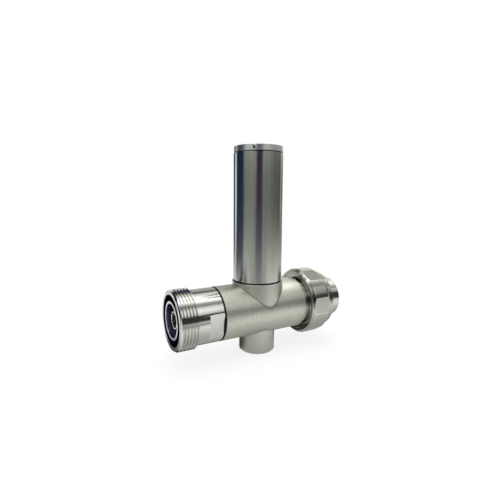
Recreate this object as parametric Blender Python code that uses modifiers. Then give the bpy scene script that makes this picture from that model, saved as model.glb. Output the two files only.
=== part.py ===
"""Coaxial lightning arrestor of the shorted-stub kind, for a 7/16 size main line.

The main line runs along X: a threaded jack at -X, a plug with a loose coupling nut at +X.
The stub stands up along +Z and is closed by a slotted cap, the earthing boss points down.
Every piece is turned about one of those two axes, so its outline is (radius, station), with
stations measured from the centre of the tee. Metres, +Z up, origin under the middle of the
overall length, on the surface that the boss stands on.
"""
import math

import bmesh
import bpy
from mathutils import Quaternion

# Line sizes shared by the pieces that carry the signal
LINE_BORE = 0.0160
CONDUCTOR_DIA = 0.0070
STUD_DIA = 0.0040
STUD_LENGTH = 0.0058
SEAT = 0.0003

# Insulating beads inside the jack and the plug
BEAD_STEP = 0.0008
BEAD_DIA = LINE_BORE + 2 * BEAD_STEP
BEAD_LENGTH = 0.0037

# Spigots by which the jack, the plug and the stub sit in the body, with their sealing rings
SPIGOT_WALL = 0.0017
SPIGOT_DIA = BEAD_DIA + 2 * (SEAT + SPIGOT_WALL)
SPIGOT_BORE = SPIGOT_DIA + 2 * SEAT
SPIGOT_LENGTH = 0.0059
SPIGOT_CHAMFER = 0.0003
SEAL_SECTION = 0.0009

# Tee body
BODY_WALL = 0.00223
BODY_DIA = SPIGOT_BORE + 2 * BODY_WALL
BODY_JACK_REACH = 0.0242
BODY_PLUG_REACH = 0.0225
BODY_CHAMFER = 0.0005
NECK_SHRINK = 0.00038
NECK_DIA = BODY_DIA - 2 * NECK_SHRINK
NECK_RISE = 0.00135
NECK_REACH = BODY_DIA / 2 + NECK_RISE
NECK_CHAMFER = 0.0003
PORT_DIA = 0.0150
EARTH_HOLE_DIA = 0.0068
EARTH_HOLE_DEPTH = 0.0095
DRILL_POINT = math.radians(59.0)
BOSS_WALL = 0.00579
BOSS_DIA = EARTH_HOLE_DIA + 2 * BOSS_WALL
BOSS_LENGTH = 0.00897
BOSS_REACH = BODY_DIA / 2 + BOSS_LENGTH
BOSS_ROUND = 0.0008

# Jack
CONTACT_RING_WALL = 0.0012
CONTACT_RING_DIA = LINE_BORE + 2 * CONTACT_RING_WALL
CONTACT_RING_BACK = 0.00015
CONTACT_RING_EDGE = 0.00025
JACK_GROOVE_WIDTH = 0.00297
JACK_GROOVE_DEPTH = 0.0088
JACK_MOUTH_DIA = CONTACT_RING_DIA + 2 * JACK_GROOVE_WIDTH
JACK_RIM_WALL = 0.00233
THREAD_DIA = JACK_MOUTH_DIA + 2 * JACK_RIM_WALL
THREAD_PITCH = 0.0015
THREAD_ROOT_DIA = THREAD_DIA - 1.0825 * THREAD_PITCH
THREAD_LENGTH = 0.0089
JACK_CHAMFER = 0.0007
BARREL_STEP = 0.0013
BARREL_DIA = THREAD_DIA - 2 * BARREL_STEP
BARREL_LENGTH = 0.0129
FLAT_CUT = 0.00145
FLAT_LENGTH = 0.0075
FLAT_ANGLE = math.radians(100.0)
SOCKET_WALL = 0.0007
SOCKET_DIA = CONDUCTOR_DIA + 2 * SOCKET_WALL
SOCKET_BACK = 0.0015
SOCKET_HOLE_DEPTH = 0.0095
SOCKET_LENGTH = 0.0110
SOCKET_TAPER = 0.0010
SOCKET_SLOTS = 4
SOCKET_SLOT_WIDTH = 0.0006
SOCKET_SLOT_DEPTH = 0.0080

# Plug, whose sleeve enters the groove of a jack like this one
SLEEVE_PLAY = 0.00107
SLEEVE_DIA = JACK_MOUTH_DIA - 2 * SLEEVE_PLAY
SLEEVE_MOUTH_PLAY = 0.0002
SLEEVE_MOUTH_DIA = CONTACT_RING_DIA + 2 * SLEEVE_MOUTH_PLAY
SLEEVE_LENGTH = 0.0100
SLEEVE_MOUTH_DEPTH = 0.0083
SLEEVE_EDGE = 0.0003
LAND_STEP = 0.0013
LAND_DIA = SLEEVE_DIA + 2 * LAND_STEP
LAND_LENGTH = 0.0144
PIN_BACK = 0.0007
PIN_ROUND = 0.0012

# Coupling nut, drawn back against the body, its gasket, and the split ring that stops it in front
NUT_GAP = 0.0015
NUT_LENGTH = 0.0153
NUT_COLLAR_WALL = 0.0008
NUT_COLLAR_DIA = THREAD_DIA + 2 * NUT_COLLAR_WALL
NUT_COLLAR_LENGTH = 0.0037
NUT_FLAT_STEP = 0.0018
NUT_ACROSS = NUT_COLLAR_DIA + 2 * NUT_FLAT_STEP
NUT_CORNER_STEP = 0.0009
NUT_CORNER_DIA = NUT_ACROSS + 2 * NUT_CORNER_STEP
NUT_SIDES = 6
NUT_FLAT_ANGLE = math.radians(27.0)
NUT_FRONT_STEP = 0.0017
NUT_FRONT_CONE = 0.0022
NUT_BACK_STEP = 0.0018
NUT_BACK_CONE = 0.0031
NUT_RIM = 0.0013
NUT_LIP_DEPTH = 0.0005
NUT_EDGE = 0.0003
NUT_RELIEF_STEP = 0.0002
NUT_RELIEF_DIA = THREAD_DIA + 2 * NUT_RELIEF_STEP
NUT_BORE_LENGTH = 0.0040
NUT_THREAD_LENGTH = 0.0064
GASKET_THICKNESS = 0.0018
GASKET_PLAY = 0.0005
RING_SETBACK = 0.0022
RING_THICKNESS = 0.0010
RING_RADIAL = 0.0016
RING_SPLIT = 0.0022
RING_BITE = 0.0007

# Stub
TUBE_STEP = 0.00062
TUBE_DIA = NECK_DIA - 2 * TUBE_STEP
TUBE_WALL = 0.00313
TUBE_BORE = TUBE_DIA - 2 * TUBE_WALL
TUBE_LENGTH = 0.06292
TUBE_CHAMFER = 0.0003
ROD_DIA = 0.0060
ROD_SPOT_DEPTH = 0.0006
CAP_STEP = 0.00023
CAP_DIA = TUBE_DIA - 2 * CAP_STEP
CAP_THICKNESS = 0.00275
CAP_EDGE = 0.0004
CAP_GROOVE = 0.00055
CAP_UNDERCUT = 0.0005
CAP_SPIGOT_LENGTH = 0.0067
CAP_SLOT_WIDTH = 0.0014
CAP_SLOT_DEPTH = 0.0020
CAP_SLOT_ANGLE = math.radians(-37.0)
CAP_SEAL_DROP = 0.0012

# Facets in a full turn
COARSE = 40
FINE = 32
SEAL_SIDES = 6

# How far a cutter reaches past the face it opens
OVERRUN = 0.0010

# Stations along the main line that neighbouring pieces share
POCKET_DEPTH = SPIGOT_LENGTH + SEAT
JACK_SHOULDER = -(BODY_JACK_REACH + SEAT)
JACK_STEP = JACK_SHOULDER - BARREL_LENGTH
JACK_FACE = JACK_STEP - THREAD_LENGTH
JACK_SPIGOT_END = JACK_SHOULDER + SPIGOT_LENGTH
PLUG_SHOULDER = BODY_PLUG_REACH + SEAT
PLUG_SPIGOT_END = PLUG_SHOULDER - SPIGOT_LENGTH
CONDUCTOR_JACK_END = JACK_SPIGOT_END + SEAT
CONDUCTOR_PLUG_END = PLUG_SPIGOT_END - SEAT
JACK_PIN_SHOULDER = JACK_SPIGOT_END - BEAD_LENGTH - SEAT
PLUG_PIN_SHOULDER = PLUG_SPIGOT_END + BEAD_LENGTH + SEAT
LAND_END = PLUG_SHOULDER + LAND_LENGTH
SLEEVE_END = LAND_END + SLEEVE_LENGTH
NUT_BACK = BODY_PLUG_REACH + NUT_GAP
NUT_FRONT = NUT_BACK + NUT_LENGTH
NUT_STOP = NUT_BACK + NUT_BORE_LENGTH
RING_STATION = LAND_END - RING_SETBACK

# Stations up the stub
TUBE_SHOULDER = NECK_REACH + SEAT
TUBE_TOP = TUBE_SHOULDER + TUBE_LENGTH
CAP_SEAT = TUBE_TOP + SEAT
CAP_FOOT = CAP_SEAT - CAP_SPIGOT_LENGTH
CAP_FLANGE = TUBE_TOP + CAP_GROOVE
CAP_TOP = CAP_FLANGE + CAP_THICKNESS
ROD_FOOT = CONDUCTOR_DIA / 2 - ROD_SPOT_DEPTH + SEAT

# The tee's centre stands above and beside the origin, which lies under the middle of its length
TEE_X = -(JACK_FACE + SLEEVE_END) / 2
TEE_Z = BOSS_REACH

# A piece's station axis is its own Z, which these turn along the main line or leave upright
ALONG_X = Quaternion((0.0, 1.0, 0.0), math.pi / 2)
UPRIGHT = Quaternion()

SEAL_WIDTH = SEAL_SECTION + 2 * SEAT
SEAL_FLOOR = SPIGOT_BORE / 2 - SEAL_WIDTH


def clear_scene():
    for item in list(bpy.data.objects):
        bpy.data.objects.remove(item, do_unlink=True)


def new_collection(name):
    group = bpy.data.collections.new(name)
    bpy.context.scene.collection.children.link(group)
    return group


def finish(name, colour, roughness, metallic):
    material = bpy.data.materials.new(name)
    material.use_nodes = True
    shader = material.node_tree.nodes["Principled BSDF"]
    shader.inputs["Base Color"].default_value = (*colour, 1.0)
    shader.inputs["Roughness"].default_value = roughness
    shader.inputs["Metallic"].default_value = metallic
    return material


def place(piece, turn):
    piece.parent = tee_centre
    piece.rotation_mode = "QUATERNION"
    piece.rotation_quaternion = turn


def spun(angle):
    """A spin about a piece's own station axis."""
    return Quaternion((0.0, 0.0, 1.0), angle)


def facing(angle):
    """Turn along the main line with the outline's side at an angle from +Z towards -Y."""
    return ALONG_X @ spun(math.pi + angle)


def turned(name, outline, turn, material, steps=COARSE, ring=True, group=None):
    """Revolve (radius, station) points. A ring closes on itself, a solid ends on the axis."""
    shape = bmesh.new()
    points = [shape.verts.new((radius, 0.0, station)) for radius, station in outline]
    for start, end in zip(points, points[1:]):
        shape.edges.new((start, end))
    if ring:
        shape.edges.new((points[-1], points[0]))
    mesh = bpy.data.meshes.new(name)
    shape.to_mesh(mesh)
    shape.free()
    piece = bpy.data.objects.new(name, mesh)
    (group or parts).objects.link(piece)
    place(piece, turn)
    spin = piece.modifiers.new("Turn", "SCREW")
    spin.axis = "Z"
    spin.angle = 2 * math.pi
    spin.steps = steps
    spin.render_steps = steps
    spin.use_merge_vertices = True
    spin.merge_threshold = 0.00001
    spin.use_smooth_shade = False
    if material:
        mesh.materials.append(material)
    return piece


def cutter(name, outline, turn, steps=COARSE, ring=False):
    piece = turned(name, outline, turn, None, steps, ring, cutters)
    return as_cutter(piece)


def as_cutter(piece):
    piece.hide_render = True
    piece.display_type = "WIRE"
    return piece


def bar(name, size, centre, turn):
    """A block cutter, with its size and centre along the axes of the piece it cuts."""
    shape = bmesh.new()
    bmesh.ops.create_cube(shape, size=1.0)
    bmesh.ops.scale(shape, vec=size, verts=shape.verts)
    bmesh.ops.translate(shape, vec=centre, verts=shape.verts)
    mesh = bpy.data.meshes.new(name)
    shape.to_mesh(mesh)
    shape.free()
    piece = bpy.data.objects.new(name, mesh)
    cutters.objects.link(piece)
    place(piece, turn)
    return as_cutter(piece)


def combine(piece, tool, operation):
    step = piece.modifiers.new(tool.name, "BOOLEAN")
    step.operation = operation
    step.solver = "EXACT"
    step.object = tool


def rod(radius, low, high):
    """Outline of a plain solid cylinder between two stations."""
    return [(0.0, high), (radius, high), (radius, low), (0.0, low)]


def quarter(radius, station, size, points=4):
    """Points of a rounded outer edge at the low end of a turned piece."""
    outline = []
    for count in range(points + 1):
        angle = math.pi / 2 * count / points
        outline.append((radius - size + size * math.cos(angle),
                        station + size - size * math.sin(angle)))
    return outline


def seal(name, bore, station, turn):
    """A rubber ring of round section around a spigot, just clear of the bore that holds it."""
    section = SEAL_SECTION / 2
    middle = bore / 2 - SEAT - section
    outline = []
    for count in range(SEAL_SIDES):
        angle = math.pi / 2 - 2 * math.pi * count / SEAL_SIDES
        outline.append((middle + section * math.cos(angle), station + section * math.sin(angle)))
    return turned(name, outline, turn, rubber, FINE)


def make_body():
    """One machined piece: a straight tube, a low neck of like diameter, and the earth boss."""
    half = BODY_DIA / 2
    edge = BODY_CHAMFER
    tube = [(0.0, BODY_PLUG_REACH), (half - edge, BODY_PLUG_REACH), (half, BODY_PLUG_REACH - edge),
            (half, -BODY_JACK_REACH + edge / 2), (half - edge / 2, -BODY_JACK_REACH),
            (0.0, -BODY_JACK_REACH)]
    body = turned("body_tee", tube, ALONG_X, nickel_matte, ring=False)
    top = NECK_DIA / 2
    neck = [(0.0, NECK_REACH), (top - NECK_CHAMFER, NECK_REACH), (top, NECK_REACH - NECK_CHAMFER),
            (top, 0.0), (0.0, 0.0)]
    combine(body, cutter("neck_form", neck, UPRIGHT), "UNION")
    boss = [(0.0, 0.0), (BOSS_DIA / 2, 0.0)]
    boss += quarter(BOSS_DIA / 2, -BOSS_REACH, BOSS_ROUND)
    boss += [(0.0, -BOSS_REACH)]
    combine(body, cutter("boss_form", boss, UPRIGHT), "UNION")

    pocket = SPIGOT_BORE / 2
    line = LINE_BORE / 2
    jack_floor = -BODY_JACK_REACH + POCKET_DEPTH
    plug_floor = BODY_PLUG_REACH - POCKET_DEPTH
    bore = [(0.0, BODY_PLUG_REACH + OVERRUN), (pocket, BODY_PLUG_REACH + OVERRUN),
            (pocket, plug_floor), (line, plug_floor), (line, jack_floor), (pocket, jack_floor),
            (pocket, -BODY_JACK_REACH - OVERRUN), (0.0, -BODY_JACK_REACH - OVERRUN)]
    combine(body, cutter("line_bore", bore, ALONG_X), "DIFFERENCE")
    neck_floor = NECK_REACH - POCKET_DEPTH
    port = [(0.0, NECK_REACH + OVERRUN), (pocket, NECK_REACH + OVERRUN), (pocket, neck_floor),
            (PORT_DIA / 2, neck_floor), (PORT_DIA / 2, 0.0), (0.0, 0.0)]
    combine(body, cutter("stub_port", port, UPRIGHT), "DIFFERENCE")
    tip = EARTH_HOLE_DIA / 2 / math.tan(DRILL_POINT)
    hole_top = -BOSS_REACH + EARTH_HOLE_DEPTH
    drill = [(0.0, hole_top), (EARTH_HOLE_DIA / 2, hole_top - tip),
             (EARTH_HOLE_DIA / 2, -BOSS_REACH - OVERRUN), (0.0, -BOSS_REACH - OVERRUN)]
    combine(body, cutter("earth_hole", drill, UPRIGHT, FINE), "DIFFERENCE")


def make_jack():
    """Threaded shell with its contact ring left standing in a trepanned groove."""
    face = JACK_FACE
    thread = THREAD_DIA / 2
    barrel = BARREL_DIA / 2
    spigot = SPIGOT_DIA / 2
    ring_front = face + CONTACT_RING_BACK
    groove_floor = face + JACK_GROOVE_DEPTH
    bead_floor = JACK_SPIGOT_END - BEAD_LENGTH - SEAT
    line = LINE_BORE / 2
    ring = CONTACT_RING_DIA / 2
    edge = CONTACT_RING_EDGE
    outline = [
        (spigot - SPIGOT_CHAMFER, JACK_SPIGOT_END),
        (spigot, JACK_SPIGOT_END - SPIGOT_CHAMFER),
        (spigot, JACK_SHOULDER + SEAL_WIDTH),
        (SEAL_FLOOR, JACK_SHOULDER + SEAL_WIDTH),
        (SEAL_FLOOR, JACK_SHOULDER),
        (barrel, JACK_SHOULDER),
        (barrel, JACK_STEP),
        (thread - JACK_CHAMFER / 2, JACK_STEP),
        (thread, JACK_STEP - JACK_CHAMFER / 2),
        (thread, face + JACK_CHAMFER),
        (thread - JACK_CHAMFER, face),
        (JACK_MOUTH_DIA / 2, face),
        (JACK_MOUTH_DIA / 2, groove_floor),
        (ring, groove_floor),
        (ring, ring_front + edge),
        (ring - edge, ring_front),
        (line + edge, ring_front),
        (line, ring_front + edge),
        (line, bead_floor),
        (BEAD_DIA / 2 + SEAT, bead_floor),
        (BEAD_DIA / 2 + SEAT, JACK_SPIGOT_END),
    ]
    shell = turned("jack_shell", outline, ALONG_X, nickel_bright)
    depth = THREAD_DIA / 2
    length = FLAT_LENGTH + OVERRUN
    centre = (barrel - FLAT_CUT + depth / 2, 0.0, JACK_SHOULDER + OVERRUN - length / 2)
    for side in range(2):
        turn = facing(FLAT_ANGLE + side * math.pi)
        flat = bar(f"wrench_flat_{side + 1}", (depth, THREAD_DIA, length), centre, turn)
        combine(shell, flat, "DIFFERENCE")

    tip = face + SOCKET_BACK
    wide = SOCKET_DIA / 2
    core = CONDUCTOR_DIA / 2
    stud = STUD_DIA / 2
    hole = CONDUCTOR_DIA / 2
    taper = tip + SOCKET_LENGTH
    outline = [
        (0.0, CONDUCTOR_JACK_END + STUD_LENGTH),
        (stud, CONDUCTOR_JACK_END + STUD_LENGTH),
        (stud, JACK_PIN_SHOULDER),
        (core, JACK_PIN_SHOULDER),
        (core, taper + SOCKET_TAPER),
        (wide, taper),
        (wide, tip + SEAT),
        (wide - SEAT, tip),
        (hole, tip),
        (hole, tip + SOCKET_HOLE_DEPTH),
        (0.0, tip + SOCKET_HOLE_DEPTH),
    ]
    socket = turned("jack_socket", outline, ALONG_X, silver, FINE, ring=False)
    length = SOCKET_SLOT_DEPTH + OVERRUN
    centre = (0.0, 0.0, tip + SOCKET_SLOT_DEPTH - length / 2)
    for count in range(SOCKET_SLOTS // 2):
        turn = facing(2 * math.pi * (count + 0.5) / SOCKET_SLOTS)
        size = (SOCKET_DIA + 2 * OVERRUN, SOCKET_SLOT_WIDTH, length)
        combine(socket, bar(f"socket_slot_{count + 1}", size, centre, turn), "DIFFERENCE")

    make_bead("jack_bead", JACK_SPIGOT_END - BEAD_LENGTH)
    seal("jack_seal", SPIGOT_BORE, JACK_SHOULDER + SEAL_WIDTH / 2, ALONG_X)


def make_bead(name, low):
    outer = BEAD_DIA / 2
    inner = STUD_DIA / 2 + SEAT
    outline = [(outer, low + BEAD_LENGTH), (outer, low), (inner, low), (inner, low + BEAD_LENGTH)]
    turned(name, outline, ALONG_X, ptfe, FINE)


def make_conductor():
    """Straight inner conductor with a tapped hole at each end and one for the stub's rod."""
    core = CONDUCTOR_DIA / 2
    hole = STUD_DIA / 2 + SEAT
    depth = STUD_LENGTH + SEAT
    outline = [
        (0.0, CONDUCTOR_PLUG_END - depth),
        (hole, CONDUCTOR_PLUG_END - depth),
        (hole, CONDUCTOR_PLUG_END),
        (core, CONDUCTOR_PLUG_END),
        (core, CONDUCTOR_JACK_END),
        (hole, CONDUCTOR_JACK_END),
        (hole, CONDUCTOR_JACK_END + depth),
        (0.0, CONDUCTOR_JACK_END + depth),
    ]
    conductor = turned("inner_conductor", outline, ALONG_X, silver, FINE, ring=False)
    spot = CONDUCTOR_DIA / 2 - ROD_SPOT_DEPTH
    foot = [(0.0, core + OVERRUN), (ROD_DIA / 2 + SEAT, core + OVERRUN),
            (ROD_DIA / 2 + SEAT, spot), (hole, spot), (hole, -STUD_DIA / 2), (0.0, -STUD_DIA / 2)]
    combine(conductor, cutter("rod_seat", foot, UPRIGHT, FINE), "DIFFERENCE")


def make_plug():
    """Plug shell: spigot, long land that the nut slides and turns on, and the contact sleeve."""
    spigot = SPIGOT_DIA / 2
    land = LAND_DIA / 2
    sleeve = SLEEVE_DIA / 2
    line = LINE_BORE / 2
    mouth = SLEEVE_MOUTH_DIA / 2
    floor = SLEEVE_END - SLEEVE_MOUTH_DEPTH
    bead_floor = PLUG_SPIGOT_END + BEAD_LENGTH + SEAT
    ring_floor = land - RING_BITE - SEAT
    outline = [
        (sleeve - SLEEVE_EDGE, SLEEVE_END),
        (sleeve, SLEEVE_END - SLEEVE_EDGE),
        (sleeve, LAND_END),
        (land, LAND_END),
        (land, RING_STATION + RING_THICKNESS + SEAT),
        (ring_floor, RING_STATION + RING_THICKNESS + SEAT),
        (ring_floor, RING_STATION - SEAT),
        (land, RING_STATION - SEAT),
        (land, PLUG_SHOULDER),
        (SEAL_FLOOR, PLUG_SHOULDER),
        (SEAL_FLOOR, PLUG_SHOULDER - SEAL_WIDTH),
        (spigot, PLUG_SHOULDER - SEAL_WIDTH),
        (spigot, PLUG_SPIGOT_END + SPIGOT_CHAMFER),
        (spigot - SPIGOT_CHAMFER, PLUG_SPIGOT_END),
        (BEAD_DIA / 2 + SEAT, PLUG_SPIGOT_END),
        (BEAD_DIA / 2 + SEAT, bead_floor),
        (line, bead_floor),
        (line, floor),
        (mouth, floor),
        (mouth, SLEEVE_END - SLEEVE_EDGE),
        (mouth + SLEEVE_EDGE, SLEEVE_END),
    ]
    turned("plug_shell", outline, ALONG_X, nickel_bright)

    core = CONDUCTOR_DIA / 2
    stud = STUD_DIA / 2
    tip = SLEEVE_END - PIN_BACK
    nose = []
    for count in range(5):
        angle = math.pi / 2 * count / 4
        nose.append((core - PIN_ROUND + PIN_ROUND * math.sin(angle),
                     tip - PIN_ROUND + PIN_ROUND * math.cos(angle)))
    outline = [(0.0, tip)] + nose
    outline += [(core, PLUG_PIN_SHOULDER), (stud, PLUG_PIN_SHOULDER),
                (stud, CONDUCTOR_PLUG_END - STUD_LENGTH), (0.0, CONDUCTOR_PLUG_END - STUD_LENGTH)]
    turned("plug_pin", outline, ALONG_X, silver, FINE, ring=False)

    make_bead("plug_bead", PLUG_SPIGOT_END)
    seal("plug_seal", SPIGOT_BORE, PLUG_SHOULDER - SEAL_WIDTH / 2, ALONG_X)

    low = LAND_END + SEAT
    high = low + GASKET_THICKNESS
    inner = sleeve + SEAT
    outer = THREAD_ROOT_DIA / 2 - GASKET_PLAY
    outline = [(outer, high), (outer, low), (inner, low), (inner, high)]
    turned("face_gasket", outline, ALONG_X, silicone)


def make_nut():
    """Loose coupling nut: turned blank, hexagon milled on it, and the split ring that stops it."""
    back = NUT_BACK
    corner = NUT_CORNER_DIA / 2
    collar = NUT_COLLAR_DIA / 2
    bore = LAND_DIA / 2 + SEAT
    thread = THREAD_ROOT_DIA / 2
    lead = THREAD_DIA / 2
    relief = NUT_RELIEF_DIA / 2
    relief_end = NUT_FRONT - NUT_THREAD_LENGTH
    hex_end = NUT_FRONT - NUT_COLLAR_LENGTH
    rim = corner - NUT_BACK_STEP
    lip = rim - NUT_RIM
    outline = [
        (collar - NUT_EDGE, NUT_FRONT),
        (collar, NUT_FRONT - NUT_EDGE),
        (collar, hex_end),
        (corner - NUT_FRONT_STEP, hex_end),
        (corner, hex_end - NUT_FRONT_CONE),
        (corner, back + NUT_BACK_CONE),
        (rim, back),
        (lip, back),
        (lip, back + NUT_LIP_DEPTH),
        (bore + NUT_EDGE, back + NUT_LIP_DEPTH),
        (bore, back + NUT_LIP_DEPTH + NUT_EDGE),
        (bore, NUT_STOP),
        (relief, NUT_STOP),
        (relief, relief_end),
        (thread, relief_end + relief - thread),
        (thread, NUT_FRONT - (lead - thread)),
        (lead, NUT_FRONT),
    ]
    nut = turned("coupling_nut", outline, ALONG_X, nickel_satin)
    reach = NUT_ACROSS / 2 / math.cos(math.pi / NUT_SIDES)
    hexagon = rod(reach, back - OVERRUN, NUT_FRONT + OVERRUN)
    turn = facing(NUT_FLAT_ANGLE + math.pi / NUT_SIDES)
    combine(nut, cutter("nut_hexagon", hexagon, turn, NUT_SIDES), "INTERSECT")

    inner = LAND_DIA / 2 - RING_BITE
    outer = inner + RING_RADIAL
    high = RING_STATION + RING_THICKNESS
    outline = [(outer, high), (outer, RING_STATION),
               (inner, RING_STATION), (inner, high)]
    ring = turned("nut_snap_ring", outline, ALONG_X, spring_steel)
    depth = LAND_DIA
    split = bar("ring_split", (depth, RING_SPLIT, RING_THICKNESS + 2 * OVERRUN),
                (depth / 2, 0.0, RING_STATION + RING_THICKNESS / 2), ALONG_X)
    combine(ring, split, "DIFFERENCE")


def make_stub():
    """Stub tube with its spigot in the neck, the rod inside it, and the slotted cap."""
    spigot = SPIGOT_DIA / 2
    tube = TUBE_DIA / 2
    bore = TUBE_BORE / 2
    line = LINE_BORE / 2
    low = TUBE_SHOULDER - SPIGOT_LENGTH
    outline = [
        (tube - TUBE_CHAMFER, TUBE_TOP),
        (tube, TUBE_TOP - TUBE_CHAMFER),
        (tube, TUBE_SHOULDER),
        (SEAL_FLOOR, TUBE_SHOULDER),
        (SEAL_FLOOR, TUBE_SHOULDER - SEAL_WIDTH),
        (spigot, TUBE_SHOULDER - SEAL_WIDTH),
        (spigot, low + SPIGOT_CHAMFER),
        (spigot - SPIGOT_CHAMFER, low),
        (line, low),
        (line, TUBE_SHOULDER + BODY_CHAMFER),
        (bore, TUBE_SHOULDER + BODY_CHAMFER + (bore - line)),
        (bore, TUBE_TOP),
    ]
    turned("stub_tube", outline, UPRIGHT, steel_turned)
    seal("stub_seal", SPIGOT_BORE, TUBE_SHOULDER - SEAL_WIDTH / 2, UPRIGHT)

    stud = STUD_DIA / 2
    rod_top = CAP_FOOT - SEAT
    outline = [
        (0.0, rod_top + STUD_LENGTH),
        (stud, rod_top + STUD_LENGTH),
        (stud, rod_top),
        (ROD_DIA / 2, rod_top),
        (ROD_DIA / 2, ROD_FOOT),
        (stud, ROD_FOOT),
        (stud, -STUD_DIA / 2 + SEAT),
        (0.0, -STUD_DIA / 2 + SEAT),
    ]
    turned("stub_rod", outline, UPRIGHT, silver, FINE, ring=False)

    cap = CAP_DIA / 2
    plug = bore - SEAT
    groove_floor = bore - SEAL_WIDTH
    groove_top = CAP_SEAT - CAP_SEAL_DROP
    hole = stud + SEAT
    hole_top = CAP_FOOT + STUD_LENGTH
    outline = [
        (0.0, CAP_TOP),
        (cap - CAP_EDGE, CAP_TOP),
        (cap, CAP_TOP - CAP_EDGE),
        (cap, CAP_FLANGE),
        (cap - CAP_UNDERCUT, CAP_FLANGE),
        (cap - CAP_UNDERCUT, CAP_SEAT),
        (plug, CAP_SEAT),
        (plug, groove_top),
        (groove_floor, groove_top),
        (groove_floor, groove_top - SEAL_WIDTH),
        (plug, groove_top - SEAL_WIDTH),
        (plug, CAP_FOOT + SPIGOT_CHAMFER),
        (plug - SPIGOT_CHAMFER, CAP_FOOT),
        (hole, CAP_FOOT),
        (hole, hole_top),
        (0.0, hole_top),
    ]
    lid = turned("stub_cap", outline, UPRIGHT, steel_turned, ring=False)
    slot = bar("cap_slot", (CAP_SLOT_WIDTH, CAP_DIA + 2 * OVERRUN, CAP_SLOT_DEPTH + OVERRUN),
               (0.0, 0.0, CAP_TOP - CAP_SLOT_DEPTH + (CAP_SLOT_DEPTH + OVERRUN) / 2),
               spun(CAP_SLOT_ANGLE))
    combine(lid, slot, "DIFFERENCE")
    seal("cap_seal", TUBE_BORE, groove_top - SEAL_WIDTH / 2, UPRIGHT)


clear_scene()
parts = new_collection("coax_lightning_arrestor")
cutters = new_collection("cutters")
tee_centre = bpy.data.objects.new("tee_centre", None)
tee_centre.location = (TEE_X, 0.0, TEE_Z)
parts.objects.link(tee_centre)

nickel_matte = finish("bead_blasted_nickel", (0.62, 0.61, 0.57), 0.45, 1.0)
nickel_bright = finish("polished_nickel", (0.78, 0.77, 0.74), 0.12, 1.0)
nickel_satin = finish("satin_nickel", (0.66, 0.67, 0.62), 0.28, 1.0)
steel_turned = finish("turned_steel", (0.48, 0.48, 0.44), 0.30, 1.0)
silver = finish("silver_plate", (0.86, 0.85, 0.81), 0.18, 1.0)
spring_steel = finish("spring_steel", (0.35, 0.35, 0.36), 0.35, 1.0)
ptfe = finish("white_ptfe", (0.85, 0.85, 0.83), 0.5, 0.0)
rubber = finish("black_rubber", (0.02, 0.02, 0.02), 0.6, 0.0)
silicone = finish("red_silicone", (0.55, 0.12, 0.07), 0.5, 0.0)

make_body()
make_jack()
make_conductor()
make_plug()
make_nut()
make_stub()
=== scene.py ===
# %% [markdown]
# # A coaxial lightning arrestor
#
# The real part protects a radio line. A jack and a plug carry the signal straight through a tee,
# and a tall tube standing on the tee is a shorted stub, which looks open to the signal and short
# to a lightning strike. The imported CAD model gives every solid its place. This lesson turns its
# faceted solids into smooth machined metal, cuts the real threads, and sets up the studio.

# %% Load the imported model
import math

import bmesh
import bpy
from mathutils import Matrix, Vector


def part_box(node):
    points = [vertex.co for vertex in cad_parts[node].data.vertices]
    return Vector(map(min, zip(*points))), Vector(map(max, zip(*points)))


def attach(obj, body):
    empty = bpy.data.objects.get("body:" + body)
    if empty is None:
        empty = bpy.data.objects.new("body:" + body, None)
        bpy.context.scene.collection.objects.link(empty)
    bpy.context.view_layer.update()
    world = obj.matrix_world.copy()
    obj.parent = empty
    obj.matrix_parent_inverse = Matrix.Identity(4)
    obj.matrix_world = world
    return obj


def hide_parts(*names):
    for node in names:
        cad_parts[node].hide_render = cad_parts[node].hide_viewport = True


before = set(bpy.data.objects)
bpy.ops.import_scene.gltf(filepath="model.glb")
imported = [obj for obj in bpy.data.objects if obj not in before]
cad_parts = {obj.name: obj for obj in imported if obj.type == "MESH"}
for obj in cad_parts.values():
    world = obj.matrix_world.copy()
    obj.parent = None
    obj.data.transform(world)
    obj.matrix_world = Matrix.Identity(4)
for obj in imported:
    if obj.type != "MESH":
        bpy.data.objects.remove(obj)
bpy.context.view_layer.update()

# %% [markdown]
# ## Where things are
#
# All turned pieces share two axes that cross in the middle of the tee: the main line along X and
# the stub along Z. Sizes are noted as they would be on a turner's drawing, as a radius and a
# station, which is a distance along the axis from the centre of the tee. They repeat the CAD
# model's sizes or stay a little inside them, because a picture of a part must not change the part.
# SEAT is the gap that the CAD model keeps between two pieces that are screwed together, and EASE is
# the usual chamfer.

# %% The two axes, in metres
TEE = Vector((-0.00045, 0.0, 0.0223))
LINE = Vector((1.0, 0.0, 0.0))
STUB = Vector((0.0, 0.0, 1.0))

body_low, body_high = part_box("body_tee")
print("body in the CAD model", [round(value * 1000, 2) for value in body_high - body_low], "mm")

# %% Radii that several pieces share
THREAD = 0.0145
BODY = 0.01333
NECK = 0.01295
BOSS = 0.00919
POCKET = 0.0111
SPIGOT = 0.0108
SEAL_WIDTH = 0.0015
SEAL_FLOOR = POCKET - SEAL_WIDTH
BEAD = 0.0091
LINE_BORE = 0.0080
CORE = 0.0035
STUD = 0.0020
print("the jack's thread is", round(2000 * THREAD, 2), "mm across, the body", round(2000 * BODY, 2), "mm")

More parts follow.
